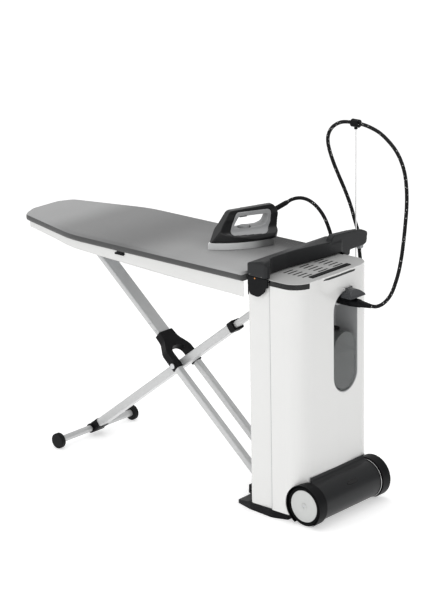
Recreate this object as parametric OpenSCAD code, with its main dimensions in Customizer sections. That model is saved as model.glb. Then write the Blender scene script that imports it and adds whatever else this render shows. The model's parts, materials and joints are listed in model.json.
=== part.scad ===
// Steam ironing station: a padded board on folding X-legs, carried at one end by a
// steam generator on two wheels, with a steam iron, its hose and a hose rod.
// Millimetres. +Z is up, +X runs from the board's nose to the generator.
// The origin is the centre of the base plate's underside, which stands on the floor.

/* [Board] */
// Height of the ironing surface above the floor, at its lowest setting
board_top = 854; // [850:1:860]
// Half of the board's width
board_half = 212; // [205:1:215]
// Where the board's nose ends
nose_x = -1207; // [-1220:1:-1190]
// Thickness of the pad and its cover
pad_t = 30; // [24:1:34]

/* [Generator] */
// Height of the generator's top plate
case_top = 845; // [840:1:846]
// Half of the generator's width at the front shell
shell_half = 195; // [192:1:196]
// Half of the generator's width at the rear column
column_half = 190; // [186:1:190]
// Wall thickness of the white shells
shell_wall = 3; // [2.5:0.1:4]
// Outer face of the front shell
shell_x = 188; // [184:1:192]

/* [Wheels] */
// Outer radius of each wheel
wheel_r = 72.6; // [70:0.2:73]
// Width of each wheel
wheel_w = 38; // [34:1:40]
// Outer radius of the hub disc
hub_r = 57; // [50:1:60]

/* [Legs] */
// Radius of the foot caps
foot_r = 28.7; // [26:0.1:29]
// Radius of the leg hinge pins
pin_r = 6; // [5:0.5:6.5]
// Running clearance of a pin in its bore
pin_gap = 0.06; // [0.04:0.01:0.1]

/* [Iron] */
// Length of the iron's sole
sole_l = 238; // [230:1:240]
// Half of the sole's width
sole_half = 62; // [58:1:64]
// Height of the steel sole
sole_h = 23; // [20:1:26]

/* [Hose] */
// Outer diameter of the steam hose
hose_d = 13; // [11:1:14]

/* [Hidden] */

$fn = 48;
eps = 0.01;
gap = 0.4;

// Board
pad_z = board_top - pad_t;
mesh_z = pad_z - 1;
tray_half = board_half - 10;
board_end = -48;
tray_wall = 2;

// Generator
plate_h = 28;
seam_x = 61;
column_x = -44;
corner_r = 65;
post_x = 5;
post_y = 150;
post_r = 12;
post_low = 560;

// Wheels
axle_x = 195;
axle_z = wheel_r;
axle_r = 5;
wheel_y = 188;
well_r = 74.6;
cover_r = 68;
cover_half = 144.5;

// Water tank bay
bay_y = 47;
bay_r = 64.5;
bay_low = 481.5;
bay_high = 711.5;
bay_back = 92;
tank_r = 57;
tank_top = 572;

// Steam connection
plug_y = 56;
plug_z = 738;
hinge_x = 191.5;
hinge_z = 783;

// Legs: P1 is the hinge on the base, P3 the crossing, F the foot bar
p1 = [-125, 60];
p3 = [-510, 386];
foot = [-977.6, foot_r];
a_angle = atan2(p3[1] - p1[1], p1[0] - p3[0]);
b_angle = atan2(p3[1] - foot[1], p3[0] - foot[0]);
a_cross = norm(p3 - p1);
b_foot = norm(p3 - foot);
roller_r = 7;
roller_z = 804;
a_len = (roller_z - p1[1]) / sin(a_angle);
roller_x = p1[0] - a_len * cos(a_angle);
tip_x = -120;
b_tip = (tip_x - p3[0]) / cos(b_angle);
tip_z = p3[1] + b_tip * sin(b_angle);
tube_y = 49;
tube_w = 26;

// Iron: the sole's tip and the direction of its long axis on the board
iron_tip = [-319, -76];
iron_turn = 68.1;
dial_x = 139.4;
relief_tilt = 68.7;

// Steam hose, upper run: plug, rod clip, holder clip
upper_route = [
    [292, 56, 738.6], [307, 57, 740], [321, 61, 745], [334, 68, 755], [344, 78, 770],
    [350, 90, 789], [353, 105, 818], [354, 122, 856], [352, 139, 902], [347, 157, 955],
    [341, 173, 1006], [332, 191, 1056], [318, 209, 1106], [297, 227, 1154], [269, 243, 1192],
    [235, 257, 1222], [195, 268, 1247], [150, 278, 1267], [104, 285, 1278], [70, 289, 1282],
    [38, 290, 1283], [6, 291, 1282], [-25, 293, 1277], [-54, 295, 1264], [-77, 296, 1244],
    [-89, 296, 1219], [-90, 297, 1193], [-83, 297, 1167], [-72, 298, 1138], [-59, 299, 1110],
    [-44, 301, 1080], [-29, 304, 1049], [-15, 309, 1014], [-3, 316, 973], [5, 324, 930],
    [11, 331.5, 896], [12.5, 336, 872], [13, 340, 850], [13, 340, 838]
];
// Steam hose, lower run: holder clip, hanging loop beside the generator, iron
lower_route = [
    [13, 340, 838], [13, 340, 824], [14.5, 341, 800], [17.5, 342, 774], [21, 343, 744], [25, 343, 706],
    [26, 342, 674], [23.5, 335, 645], [16.5, 316.5, 625], [7, 291, 617.5], [-2.5, 265.5, 625],
    [-9.5, 247, 645], [-12, 240, 674], [-13, 238, 710], [-14, 237, 750], [-17, 239, 790],
    [-24, 244, 822], [-33, 249, 852], [-44, 254, 881], [-58, 257, 908], [-75, 259, 935],
    [-96, 260, 958], [-122, 260, 977], [-148, 258, 988.5], [-170, 252, 993], [-186, 241, 992.5],
    [-197.3, 226.8, 988.7], [-203.2, 212, 982.5]
];

// ---------- outline helpers ----------

function unit(v) = v / norm(v);

// Points of an arc that rounds the corner at b, between the sides to a and to c
function fillet(a, b, c, r, n) =
    let (u = unit(a - b), v = unit(c - b), half = acos(u * v) / 2)
    let (reach = r / tan(half), mid = b + unit(u + v) * r / sin(half), turn = 180 - 2 * half)
    let (s = b + u * reach - mid, e = b + v * reach - mid)
    [for (i = [0 : n]) mid + (s * sin(turn * (1 - i / n)) + e * sin(turn * i / n)) / sin(turn)];

// A closed outline from corners [x, y, r], each rounded to its own radius r
function rounded(c, n = 6) = [
    for (i = [0 : len(c) - 1])
        let (a = c[(i + len(c) - 1) % len(c)], b = c[i], d = c[(i + 1) % len(c)])
        each (b[2] > 0 ? fillet([a[0], a[1]], [b[0], b[1]], [d[0], d[1]], b[2], n) : [[b[0], b[1]]])
];

// The same corners mirrored across the X axis and closed, for outlines symmetric in Y
function mirrored(c) = concat(c, [for (i = [len(c) - 1 : -1 : 0]) [c[i][0], -c[i][1], c[i][2]]]);

function box_corners(x0, x1, y0, y1, r) = [[x0, y0, r], [x1, y0, r], [x1, y1, r], [x0, y1, r]];

module prism(z0, z1) translate([0, 0, z0]) linear_extrude(z1 - z0) children();

// Extrudes an XZ outline along Y, from y0 to y1
module across(y0, y1) translate([0, y1, 0]) rotate([90, 0, 0]) linear_extrude(y1 - y0) children();

// Extrudes a YZ outline along X, from x0 to x1
module along(x0, x1) translate([x0, 0, 0]) rotate([90, 0, 90]) linear_extrude(x1 - x0) children();

module block(x0, x1, y0, y1, z0, z1) translate([x0, y0, z0]) cube([x1 - x0, y1 - y0, z1 - z0]);

module rod_y(x, z, r, y0, y1) translate([x, y1, z]) rotate([90, 0, 0]) cylinder(r = r, h = y1 - y0);

module rod_x(y, z, r, x0, x1) translate([x0, y, z]) rotate([0, 90, 0]) cylinder(r = r, h = x1 - x0);

module rod_z(x, y, r, z0, z1) translate([x, y, z0]) cylinder(r = r, h = z1 - z0);

// Copies its children to the near and the far side
module both_sides() {
    children();
    mirror([0, 1, 0]) children();
}

// A tube swept along a route of points, with flat ends
module swept(route, d, sides = 10) {
    n = len(route);
    function tangent(i) = unit(route[min(i + 1, n - 1)] - route[max(i - 1, 0)]);
    function side(i) = unit(cross(tangent(i), [0.3, 0.2, 0.93]));
    rings = [for (i = [0 : n - 1])
        let (s = side(i), u = cross(s, tangent(i)))
        for (k = [0 : sides - 1])
            route[i] + (s * cos(360 * k / sides) + u * sin(360 * k / sides)) * d / 2];
    walls = [for (i = [0 : n - 2]) for (k = [0 : sides - 1])
        let (a = i * sides + k, b = i * sides + (k + 1) % sides)
        [a, b, b + sides, a + sides]];
    first = [for (k = [sides - 1 : -1 : 0]) k];
    last = [for (k = [0 : sides - 1]) (n - 1) * sides + k];
    polyhedron(rings, concat([first], walls, [last]), convexity = 10);
}

// ---------- outlines ----------

// Board outline, drawn in by "inset" all round
function board_outline(inset) = rounded(mirrored([
    [board_end, board_half - inset, 0], [-860, board_half - inset, 420],
    [nose_x + 27 + inset, 124 - 0.9 * inset, 34], [nose_x + inset, 62, 40]
]), 8);

// Generator outlines, drawn in by "inset" all round
function shell_outline(inset) = rounded([
    [seam_x, -shell_half + inset, 0], [shell_x - 4 - inset, -shell_half + inset, corner_r - inset],
    [shell_x + 1 - inset, 0, 400], [shell_x - 4 - inset, shell_half - inset, corner_r - inset],
    [seam_x, shell_half - inset, 0]
], 8);

function column_outline(inset) = rounded([
    [seam_x, column_half - inset, 0], [column_x + inset, column_half - inset, 18],
    [column_x + inset, -column_half + inset, 18], [seam_x, -column_half + inset, 0]
], 6);

// Foot print of the base plate
function plate_outline() = rounded(mirrored([
    [118, 178, 6], [62, 198, 60], [-44, 189, 60], [-118, 170, 12], [-122, 88, 6], [-152, 76, 10]
]), 5);

// An upright slot shape with round ends, centred on the tank bay
module stadium(r, low, high) {
    translate([bay_y, low]) circle(r);
    translate([bay_y, high]) circle(r);
    translate([bay_y - r, low]) square([2 * r, high - low]);
}

// ---------- leg frames ----------

// Leg A's frame: the origin at the base hinge, -X up the leg, +Z square to it
module leg_a_frame() translate([p1[0], 0, p1[1]]) rotate([0, a_angle, 0]) children();

// Leg B's frame: the origin at the crossing, +X up the leg
module leg_b_frame() translate([p3[0], 0, p3[1]]) rotate([0, -b_angle, 0]) children();

// A hollow tube along X with rounded corners
module tube_x(x0, x1, w, h, wall, r) {
    along(x0, x1) difference() {
        polygon(rounded(box_corners(-w / 2, w / 2, -h / 2, h / 2, r), 4));
        polygon(rounded(box_corners(-w / 2 + wall, w / 2 - wall, -h / 2 + wall, h / 2 - wall, r - wall), 4));
    }
}

// ---------- generator ----------

module base_plate() color("#1c1d1f")
    difference() {
        prism(0, plate_h) polygon(plate_outline());
        block(-36, 100, -150, 150, 6, plate_h + 1);
        both_sides() across(73, 200) polygon([[-52, plate_h + 1], [-52, plate_h - 1], [-124, 9], [-160, 9], [-160, plate_h + 1]]);
    }

module hinge_bracket() color("#2a2b2d")
    difference() {
        union() {
            both_sides() block(-141, -107, 64.5, 69.5, plate_h, 60);
            both_sides() rod_y(p1[0], p1[1], 15, 64.5, 69.5);
            block(-141, -100, -69.5, 69.5, plate_h, plate_h + 3);
            block(-100, column_x - gap, -60, 60, plate_h, plate_h + 3);
        }
        rod_y(p1[0], p1[1], pin_r, -80, 80);
    }

module leg_hinge_pin() color("#b9bbbd")
    union() {
        rod_y(p1[0], p1[1], pin_r, -72, 72);
        both_sides() rod_y(p1[0], p1[1], 9, 70, 74);
    }

module rear_column() color("#eeeeec")
    difference() {
        prism(plate_h, case_top) difference() {
            polygon(column_outline(0));
            polygon(concat(column_outline(shell_wall), [[seam_x + 1, -column_half + shell_wall],
                [seam_x + 1, column_half - shell_wall]]));
        }
        rod_y(10, 82, 12.2, column_half - 10, column_half + 10);
    }

module front_shell() color("#f2f2f0")
    difference() {
        union() {
            prism(plate_h, case_top) difference() {
                polygon(shell_outline(0));
                polygon(concat(shell_outline(shell_wall), [[seam_x - 1, shell_half - shell_wall],
                    [seam_x - 1, -shell_half + shell_wall]]));
            }
            intersection() {
                prism(plate_h, 200) polygon(shell_outline(0.5));
                both_sides() difference() {
                    rod_y(axle_x, axle_z, well_r + 3, 145.5, shell_half - 0.5);
                    rod_y(axle_x, axle_z, well_r, 148.5, shell_half + 1);
                    rod_y(axle_x, axle_z, 20, 140, 150);
                }
            }
            for (y = [31, 76])
                block(shell_x - 1, 194.5, y, y + 5, 779.5, 786.5);
        }
        rod_y(hinge_x, hinge_z, 2.26, 30, 82);
        rod_y(axle_x, axle_z, cover_r + 2, -145, 145);
        both_sides() rod_y(axle_x, axle_z, well_r, 148.5, shell_half + 5);
        along(shell_x - 8, shell_x + 8) stadium(bay_r + gap, bay_low, bay_high);
        along(shell_x - 8, shell_x + 8)
            polygon(rounded([[-72, 836, 1], [-40, 832.5, 3], [96, 832.5, 3], [104, 838, 1], [70, 840.5, 3],
                [-60, 840.5, 2]], 3));
        block(86, 114, -shell_half - 5, -shell_half + 8, 829, 841);
    }

module top_grille() color("#c9c9c6")
    difference() {
        prism(case_top - 4, case_top) union() {
            polygon(shell_outline(shell_wall + gap));
            polygon(column_outline(shell_wall + gap));
            translate([seam_x - 1, -column_half + shell_wall + gap])
                square([2, 2 * (column_half - shell_wall - gap)]);
        }
        for (x = [43, 62, 83, 104, 125])
            for (y = [-77, 5, 84])
                block(x - 3.8, x + 3.8, y - 25, y + 25, case_top - 5, case_top + 1);
        block(139, 160, -90, 114, case_top - 2, case_top + 1);
        both_sides() rod_z(post_x, post_y, post_r + 1, case_top - 5, case_top + 1);
    }

module control_strip() color("#101113")
    difference() {
        prism(826, 844) difference() {
            polygon(shell_outline(-2));
            polygon(concat(shell_outline(-0.05), [[seam_x - 1, shell_half + 1], [seam_x - 1, -shell_half - 0.05]]));
        }
        block(seam_x - 2, shell_x + 10, -138, shell_half + 10, 820, 850);
        block(86, 114, -shell_half - 5, -shell_half + 8, 829, 841);
    }

module power_key() color("#2c2e31")
    union() {
        block(86.5, 113.5, -shell_half - 2.6, -shell_half + 4, 829.5, 840.5);
        rod_y(100, 835, 3, -shell_half + 4, -shell_half + 10);
    }

module axle_cover() color("#1a1b1d")
    difference() {
        union() {
            rod_y(axle_x, axle_z, cover_r, -cover_half, cover_half);
            across(-cover_half, cover_half)
                polygon([[shell_x + 1.2, 100], [shell_x + 1.2, 160], [shell_x + 1.8, 152], [shell_x + 3.6, 147],
                    [shell_x + 7, 143.4], [shell_x + 13, 141.2], [shell_x + 24, 134], [shell_x + 16, 118]]);
        }
        rod_y(axle_x, axle_z, cover_r - 4, -cover_half - 1, cover_half + 1);
        block(100, shell_x + 1.2, -cover_half - 1, cover_half + 1, plate_h + 2, 300);
    }

module wheel_axle() color("#a9abad") rod_y(axle_x, axle_z, axle_r, -186.5, 186.5);

// One wheel's tyre, on the near (-1) or the far (1) side
module tyre(s) color("#191a1b")
    difference() {
        rod_y(axle_x, axle_z, wheel_r, s > 0 ? wheel_y - wheel_w : -wheel_y, s > 0 ? wheel_y : -wheel_y + wheel_w);
        rod_y(axle_x, axle_z, hub_r, -200, 200);
    }

module hub(s) color("#cfd0cf")
    difference() {
        union() {
            rod_y(axle_x, axle_z, hub_r, s > 0 ? wheel_y - 10 : -wheel_y + 1, s > 0 ? wheel_y - 1 : -wheel_y + 10);
            rod_y(axle_x, axle_z, 14, s > 0 ? wheel_y - wheel_w : -wheel_y + 2, s > 0 ? wheel_y - 2 : -wheel_y + wheel_w);
            rod_y(axle_x, axle_z, 9, s > 0 ? wheel_y - 2 : -wheel_y, s > 0 ? wheel_y : -wheel_y + 2);
        }
        rod_y(axle_x, axle_z, axle_r + 0.06, s > 0 ? 140 : -187, s > 0 ? 187 : -140);
    }

module tyre_near() tyre(-1);
module hub_near() hub(-1);
module tyre_far() tyre(1);
module hub_far() hub(1);

// ---------- water and steam ----------

module tank_bay() color("#3a3c3f")
    union() {
        difference() {
            along(bay_back, shell_x - 0.5) stadium(bay_r, bay_low, bay_high);
            along(bay_back + 3, shell_x + 1) stadium(bay_r - 3, bay_low, bay_high);
        }
        block(bay_back + 2, 172, bay_y - 18, bay_y + 18, bay_low - bay_r + 1, bay_low - tank_r - 0.5);
    }

module water_tank() color("#8d979c", 0.6)
    difference() {
        along(100, 184.5) stadium(tank_r, bay_low, tank_top);
        along(102.5, 182) stadium(tank_r - 2.5, bay_low, tank_top);
        rod_z(139, bay_y, 14, tank_top + tank_r - 8, tank_top + tank_r + 5);
    }

module tank_cap() color("#2b2d30")
    union() {
        rod_z(139, bay_y, 13.9, tank_top + tank_r - 5, tank_top + tank_r + 1);
        rod_z(139, bay_y, 18, tank_top + tank_r + 1, tank_top + tank_r + 8);
    }

module steam_socket() color("#55585b")
    difference() {
        rod_x(plug_y, plug_z, 24, bay_back + 3, 150);
        rod_x(plug_y, plug_z, 11, 120, 151);
    }

module steam_plug() color("#141516")
    union() {
        rod_x(plug_y, plug_z, 10.8, 124, 150.2);
        rod_x(plug_y, plug_z, 17, 150.2, 205);
        translate([205, plug_y, plug_z]) rotate([0, 90, 0]) cylinder(r1 = 17, r2 = 13.5, h = 40);
        translate([245, plug_y, plug_z]) rotate([0, 90, 0]) cylinder(r1 = 12, r2 = 7.5, h = 45);
    }

module socket_flap() color("#44474b")
    union() {
        difference() {
            flap_dome();
            rod_x(plug_y, plug_z + 2, 34, shell_x + 5, 222);
            block(shell_x - 2, 198, 28, 84, 774, 800);
        }
        rod_y(hinge_x, hinge_z, 2.2, 32, 80);
        block(hinge_x, 204, 46, 66, 779.5, 783.5);
    }

module flap_dome()
        intersection() {
            rod_x(plug_y, plug_z + 2, 44, shell_x + 1.5, 240);
            along(shell_x, 260)
                polygon(rounded([[plug_y - 46, plug_z + 20, 4], [plug_y + 46, plug_z + 20, 4],
                    [plug_y + 30, plug_z + 60, 24], [plug_y - 30, plug_z + 60, 24]], 5));
            across(0, 150)
                polygon(rounded([[shell_x + 1.5, plug_z + 10, 0], [238, plug_z + 10, 7], [236, plug_z + 28, 14],
                    [216, plug_z + 46, 22], [shell_x + 1.5, plug_z + 46, 0]], 5));
        }

// Half of the boiler's section, with a bore of radius r where the steam pipe goes in
module boiler_section(inset, r) polygon(rounded([
    [r, inset, 0], [60 - inset, inset, 10 - inset], [60 - inset, 165 - inset, 15 - inset], [r, 165 - inset, 0]
], 5));

module boiler() color("#b4b6b8")
    translate([112, -62, 190]) rotate_extrude() difference() {
        boiler_section(0, 0);
        boiler_section(2, 0);
        translate([-1, 150]) square([5.1, 20]);
    }

module pump() color("#2d2f31")
    union() {
        rod_z(112, -110, 26, 400, 450);
        rod_z(112, -110, 18, 450, 480);
        rod_x(-110, 415, 5, 130, 152);
    }

module solenoid_valve() color("#3d4a52")
    union() {
        block(92, 132, -112, -72, 560, 600);
        rod_z(112, -92, 15, 600, 632);
    }

module circuit_board() color("#2c5d3c")
    union() {
        block(72, 172, -150, -148, 640, 790);
        block(84, 110, -148, -126, 660, 690);
        block(124, 156, -148, -134, 720, 760);
    }

module chassis() color("#9fa2a4")
    difference() {
        union() {
            block(40, 41.2, -165, 165, 60, 820);
            both_sides() rod_z(post_x, post_y, 17, post_low - 20, 800);
            both_sides() block(post_x, 40.5, post_y - 2, post_y + 2, 580, 780);
            block(-30, 60, -145, 145, plate_h + 4, plate_h + 6);
            block(40, 41.2, -145, 145, plate_h + 4, 70);
        }
        both_sides() rod_z(post_x, post_y, post_r + 0.08, post_low - 30, 810);
        for (z = [110, 240, 370, 500])
            block(30, 50, -100, 100, z, z + 90);
    }

module steam_pipe() color("#b98553")
    union() {
        rod_z(112, -62, 4, 345, 536);
        rod_z(150, -62, 4, 532, 740);
        rod_x(-62, 536, 4, 108, 154);
        rod_y(150, plug_z, 4, -66, -22);
    }

module mains_inlet() color("#232426")
    difference() {
        union() {
            rod_y(10, 82, 12, column_half - 6, column_half + 7);
            rod_y(10, 82, 17, column_half + 0.2, column_half + 4);
        }
        rod_y(10, 82, 5, column_half - 10, column_half + 12);
    }

// ---------- board ----------

// Underside of the tray, deeper towards the generator
module tray_depth() across(-300, 300)
    polygon([[board_end, 768], [-246, 771], [-480, 781], [-844, 792], [-1000, 798], [-1250, 802],
        [-1250, 900], [board_end, 900]]);

module board_tray() color("#e9e9e7")
    difference() {
        intersection() {
            prism(760, pad_z) difference() {
                polygon(board_outline(10));
                polygon(board_outline(10 + tray_wall));
            }
            tray_depth();
        }
        block(-643, -598, -tray_half - 5, -tray_half + 8, 809, 823.5);
        block(board_end - 1, board_end + 1, -tray_half + 5, tray_half - 5, 700, 900);
    }

module board_mesh() color("#8b8d8f")
    difference() {
        prism(mesh_z, pad_z) polygon(board_outline(10 + tray_wall + 0.3));
        for (x = [-1100 : 60 : -120])
            for (y = [-3 : 3])
                if (abs(y) < 2 || x > -1000)
                    block(x - 18, x + 18, y * 50 - 6, y * 50 + 6, mesh_z - 1, pad_z + 1);
    }

module board_pad() color("#a9aaab") prism(pad_z, board_top) polygon(board_outline(0));

// Steel end plate of the board, with the slotted cheeks that guide leg B's rollers
module end_frame() color("#2a2b2d")
    difference() {
        union() {
            block(board_end, board_end + 1.9, -180, 180, 771, 866);
            block(board_end, board_end + 1.9, -60, 60, tip_z - 16, 772);
            both_sides() block(-146, board_end, 36, 39, tip_z - 16, mesh_z - 26);
            block(-146, board_end, -39, 39, mesh_z - 28, mesh_z - 25);
            both_sides() block(-146, -100, 36, 39, mesh_z - 28, mesh_z);
        }
        both_sides() block(tip_x - 11, -56, 30, 45, tip_z - 10.5, tip_z + 10.5);
    }

// Plan of the bridge across the board's end, flared out at its two ends
function bridge_plan() = rounded([
    [-46, -178, 24], [-27, -205, 14], [60, -205, 12], [56, -186, 14], [22, -146, 40], [24, -60, 200],
    [47, 140, 300], [50, 205, 8], [-46, 205, 2]
], 8);

module end_bridge() color("#222326")
    difference() {
        intersection() {
            prism(848, 910) polygon(bridge_plan());
            across(-210, 210)
                polygon(rounded([[-47, 848, 0], [62, 848, 0], [66, 878, 16], [44, 905, 14], [26, 904, 20],
                    [-27, 892, 14], [-47, 877, 0]], 4));
            along(-60, 80)
                polygon(rounded([[-206, 840, 0], [206, 840, 0], [206, 895, 6], [0, 903, 900], [-206, 906, 16]], 6));
        }
        both_sides() rod_z(post_x, post_y, post_r, 840, 852);
        across(-128, 128) polygon([[-40, 840], [12, 840], [12, 890], [-28, 882], [-40, 872]]);
        block(18.5, 80, 144, 210, 888, 920);
    }

// One lobe hangs under each end of the bridge, beside the generator's side face
module bridge_lobes() color("#1f2022")
    both_sides() across(197.4, 205)
        polygon(rounded([[-27, 847.95, 0], [-28, 822, 8], [-19, 784, 14], [18, 779, 24], [45, 800, 14],
            [50, 815, 3], [60, 818, 3], [61, 847.95, 0]], 5));

module lift_posts() color("#b5b7b9")
    both_sides() difference() {
        rod_z(post_x, post_y, post_r, post_low, 851.9);
        rod_z(post_x, post_y, post_r - 2, post_low - 1, 840);
    }

module hose_holder() color("#1d1e20")
    difference() {
        along(20.5, 46)
            polygon(rounded([[205.1, 828, 0], [247, 828, 2], [250, 846, 4], [326, 846, 6], [341, 853, 8],
                [346, 890, 8], [318, 903, 30], [250, 911, 80], [163, 916.5, 10], [149, 905, 8],
                [146, 888.1, 0], [205.1, 888.1, 0]], 4));
        rod_z(38, 290, 2.6, 820, 920);
    }

module hose_rod() color("#8f9192") rod_z(38, 290, 2.5, 790, 1271);

module rod_clip() color("#18191a")
    difference() {
        union() {
            rod_x(290, 1282.6, 14, 23, 53);
            rod_z(38, 290, 6, 1262, 1274);
        }
        rod_x(290, 1282.6, hose_d / 2 + 1.2, 15, 60);
        rod_z(38, 290, 2.55, 1255, 1271.2);
    }

// The grey clip under the holder keeps the hose at the board's end
module hose_clip() color("#8e9091")
    difference() {
        union() {
            translate([13, 340, 826]) cylinder(r = 11, h = 16.5);
            block(14, 34, 318, 336, 832, 845.9);
        }
        translate([13, 340, 820]) cylinder(r = hose_d / 2 + 0.8, h = 30);
    }

// Channels in the tray for leg A's rollers
module roller_rails() color("#9b9da0")
    both_sides() union() {
        block(-1024, -800, 38, 60, 793, 795);
        block(-1024, -800, 58, 60, 793, mesh_z - 0.1);
    }

module release_lever() color("#161718")
    union() {
        block(-641, -600, -tray_half - 6, -tray_half + 14, 811, 817);
        rod_x(-tray_half + 16, 814, 5, -650, -591);
    }

// ---------- legs ----------

module leg_a_tubes() color("#c2c3c4")
    leg_a_frame() both_sides() translate([0, tube_y, 0]) difference() {
        union() {
            tube_x(-a_cross + 16.05, 0, tube_w, tube_w, 2, 6);
            rotate([90, 0, 0]) translate([0, 0, -tube_w / 2]) cylinder(r = tube_w / 2, h = tube_w);
        }
        rotate([90, 0, 0]) translate([0, 0, -20]) cylinder(r = pin_r + pin_gap, h = 40);
    }

fork_low = -a_cross + 16;
fork_high = -640;

module leg_a_fork() color("#1b1c1e")
    leg_a_frame() difference() {
        union() {
            prism(-15, 15) polygon(rounded([[fork_low, 64, 2], [-560, 63, 40], [-604, 36, 40], [fork_high, 33, 2],
                [fork_high, -33, 2], [-604, -36, 40], [-560, -63, 40], [fork_low, -64, 2],
                [fork_low, -35, 2], [-572, -35, 26], [-572, 35, 26], [fork_low, 35, 2]], 6));
            both_sides() block(fork_low - eps, fork_low + 24, tube_y - 9.3, tube_y + 9.3, -9.3, 9.3);
            block(fork_high - 26, fork_high + eps, -25.5, 25.5, -7.5, 7.5);
        }
        rotate([90, 0, 0]) translate([-a_cross, 0, -90]) cylinder(r = pin_r, h = 180);
    }

module leg_a_upper() color("#c2c3c4") leg_a_frame() tube_x(-a_len - 5, fork_high, 58, 22, 2, 6);

module leg_a_roller() color("#2e3032")
    union() {
        rod_y(roller_x, roller_z, 4, 29.1, 56);
        rod_y(roller_x, roller_z, 4, -56, -29.1);
        both_sides() rod_y(roller_x, roller_z, roller_r, 40, 52);
    }

module cross_pin() color("#a7a9ab")
    union() {
        rod_y(p3[0], p3[1], pin_r, -68, 68);
        both_sides() rod_y(p3[0], p3[1], 10, 64.2, 69);
    }

module leg_b_outer() color("#c6c7c8")
    leg_b_frame() difference() {
        union() {
            tube_x(-b_foot + 44, 290, 44, 30, 2, 4.5);
            rotate([90, 0, 0]) translate([0, 0, -22]) cylinder(r = 11, h = 44);
        }
        rotate([90, 0, 0]) translate([0, 0, -30]) cylinder(r = pin_r + pin_gap, h = 60);
    }

module leg_b_collar() color("#1b1c1e")
    leg_b_frame() difference() {
        along(291, 318) polygon(rounded(box_corners(-26, 26, -19, 19, 8), 4));
        along(290, 319) polygon(rounded(box_corners(-16.5, 16.5, -11.5, 11.5, 5), 4));
    }

module leg_b_inner() color("#b9babb") leg_b_frame() tube_x(150, b_tip - 8, 32, 22, 2, 5);

module leg_b_roller() color("#2e3032")
    union() {
        leg_b_frame() block(b_tip - 8, b_tip + 5, -13, 13, -6, 6);
        rod_y(tip_x, tip_z, 4, -34, 34);
        both_sides() rod_y(tip_x, tip_z, roller_r, 34, 44);
    }

module foot_coupler() color("#18191b")
    difference() {
        union() {
            rod_y(foot[0], foot[1], 18, -30, 30);
            leg_b_frame() along(-b_foot + 4, -b_foot + 43.9)
                polygon(rounded(box_corners(-26, 26, -18, 18, 8), 4));
            leg_b_frame() block(-b_foot + 40, -b_foot + 68, -17, 17, -10, 10);
        }
        rod_y(foot[0], foot[1], 12.6, -60, 60);
    }

module foot_tube() color("#c2c3c4")
    difference() {
        rod_y(foot[0], foot[1], 12.5, -192, 192);
        rod_y(foot[0], foot[1], 10.5, -200, 200);
    }

module foot_caps() color("#161718")
    both_sides() difference() {
        rod_y(foot[0], foot[1], foot_r, 184, 204);
        rod_y(foot[0], foot[1], 12.6, 180, 196);
    }

// ---------- iron ----------

// Iron's frame: the origin at the sole's tip, on the board, +X towards the heel
module iron_frame() translate([iron_tip[0], iron_tip[1], board_top + 0.3]) rotate([0, 0, iron_turn]) children();

// Half-width of the sole at a distance t from its tip
function sole_width(t) = sole_half * pow(sin(90 * min(1, t / 165)), 0.8);

function sole_outline(inset, back) = let (steps = [0, 3, 8, 16, 28, 44, 64, 88, 112, 136, 165])
    rounded(mirrored(concat([for (t = steps) [t + inset * (1 - t / 165), max(0.3, sole_width(t) - inset), 0]],
        [[sole_l - 10, sole_half - 2 - inset, 30], [back, 34 - inset, 14]])), 5);

function sole_pocket() = rounded(mirrored([[42, 14, 6], [100, 42, 30], [220, 46, 20]]), 4);

module iron_sole() color("#aeb0b2")
    iron_frame() difference() {
        prism(0, sole_h) polygon(sole_outline(0, sole_l));
        prism(5, sole_h + 1) polygon(sole_pocket());
    }

// Cross-section of the iron's body, wide at the skirt and narrow at the handle
function body_section(grow) = rounded(mirrored([
    [sole_h + 0.05, 66 + grow, 0], [41, 52 + grow, 12], [57, 27 + grow, 16], [84, 18.5 + grow, 30],
    [118, 16.5 + grow, 10], [134, 10.5 + grow, 6]
]), 4);

module iron_section(grow) rotate([90, 0, 90]) linear_extrude(300)
    polygon([for (p = body_section(grow)) [p[1], p[0]]]);

function iron_profile() = rounded([
    [8, sole_h + 0.05, 0], [79, 128.5, 16], [130, 130, 0], [247, 133, 14], [259, 118, 12],
    [265, 98, 16], [255, 60, 60], [240, sole_h + 0.05, 6]
], 6);

function window_outline() = rounded([
    [85, 68, 5], [112, 106, 10], [226, 103, 6], [213, 71, 14], [192, 64, 12], [112, 63.5, 14]
], 5);

function inset_outline() = rounded([
    [69, 48, 10], [104, 121, 16], [238, 118.5, 14], [232, 76, 30], [209, 41.5, 28]
], 5);

module iron_body() color("#1d1e20")
    iron_frame() difference() {
        intersection() {
            across(-80, 80) polygon(iron_profile());
            iron_section(0);
            prism(0, 160) polygon(sole_outline(1.5, 268));
        }
        across(-80, 80) polygon(inset_outline());
        prism(sole_h - 1, 38) polygon(sole_pocket());
        translate([246, 0, 103]) rotate([0, relief_tilt, 0]) cylinder(r = 9, h = 50);
    }

module iron_inset() color("#8a8b8d")
    iron_frame() difference() {
        intersection() {
            across(-80, 80) polygon(inset_outline());
            iron_section(0.8);
        }
        across(-90, 90) polygon(window_outline());
        prism(54.6, 80) translate([dial_x, 0]) circle(23.6);
        block(120, 150, -7, 7, 95, 114);
    }

module iron_dial() color("#8f9194")
    iron_frame() union() {
        translate([dial_x, 0, 55]) cylinder(r = 23, h = 7);
        translate([dial_x, 0, 62]) cylinder(r = 18.5, h = 6);
    }

module iron_trigger() color("#2b2d2f")
    iron_frame() block(120.6, 149.4, -6.4, 6.4, 99, 111.5);

module iron_relief() color("#151617")
    iron_frame() translate([246, 0, 103]) rotate([0, relief_tilt, 0]) union() {
        cylinder(r = 8.95, h = 58);
        translate([0, 0, 58]) cylinder(r1 = 8.95, r2 = 7.6, h = 10.7);
    }

// ---------- hose ----------

module hose_upper() color("#1a1b1c") swept(upper_route, hose_d);

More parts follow.
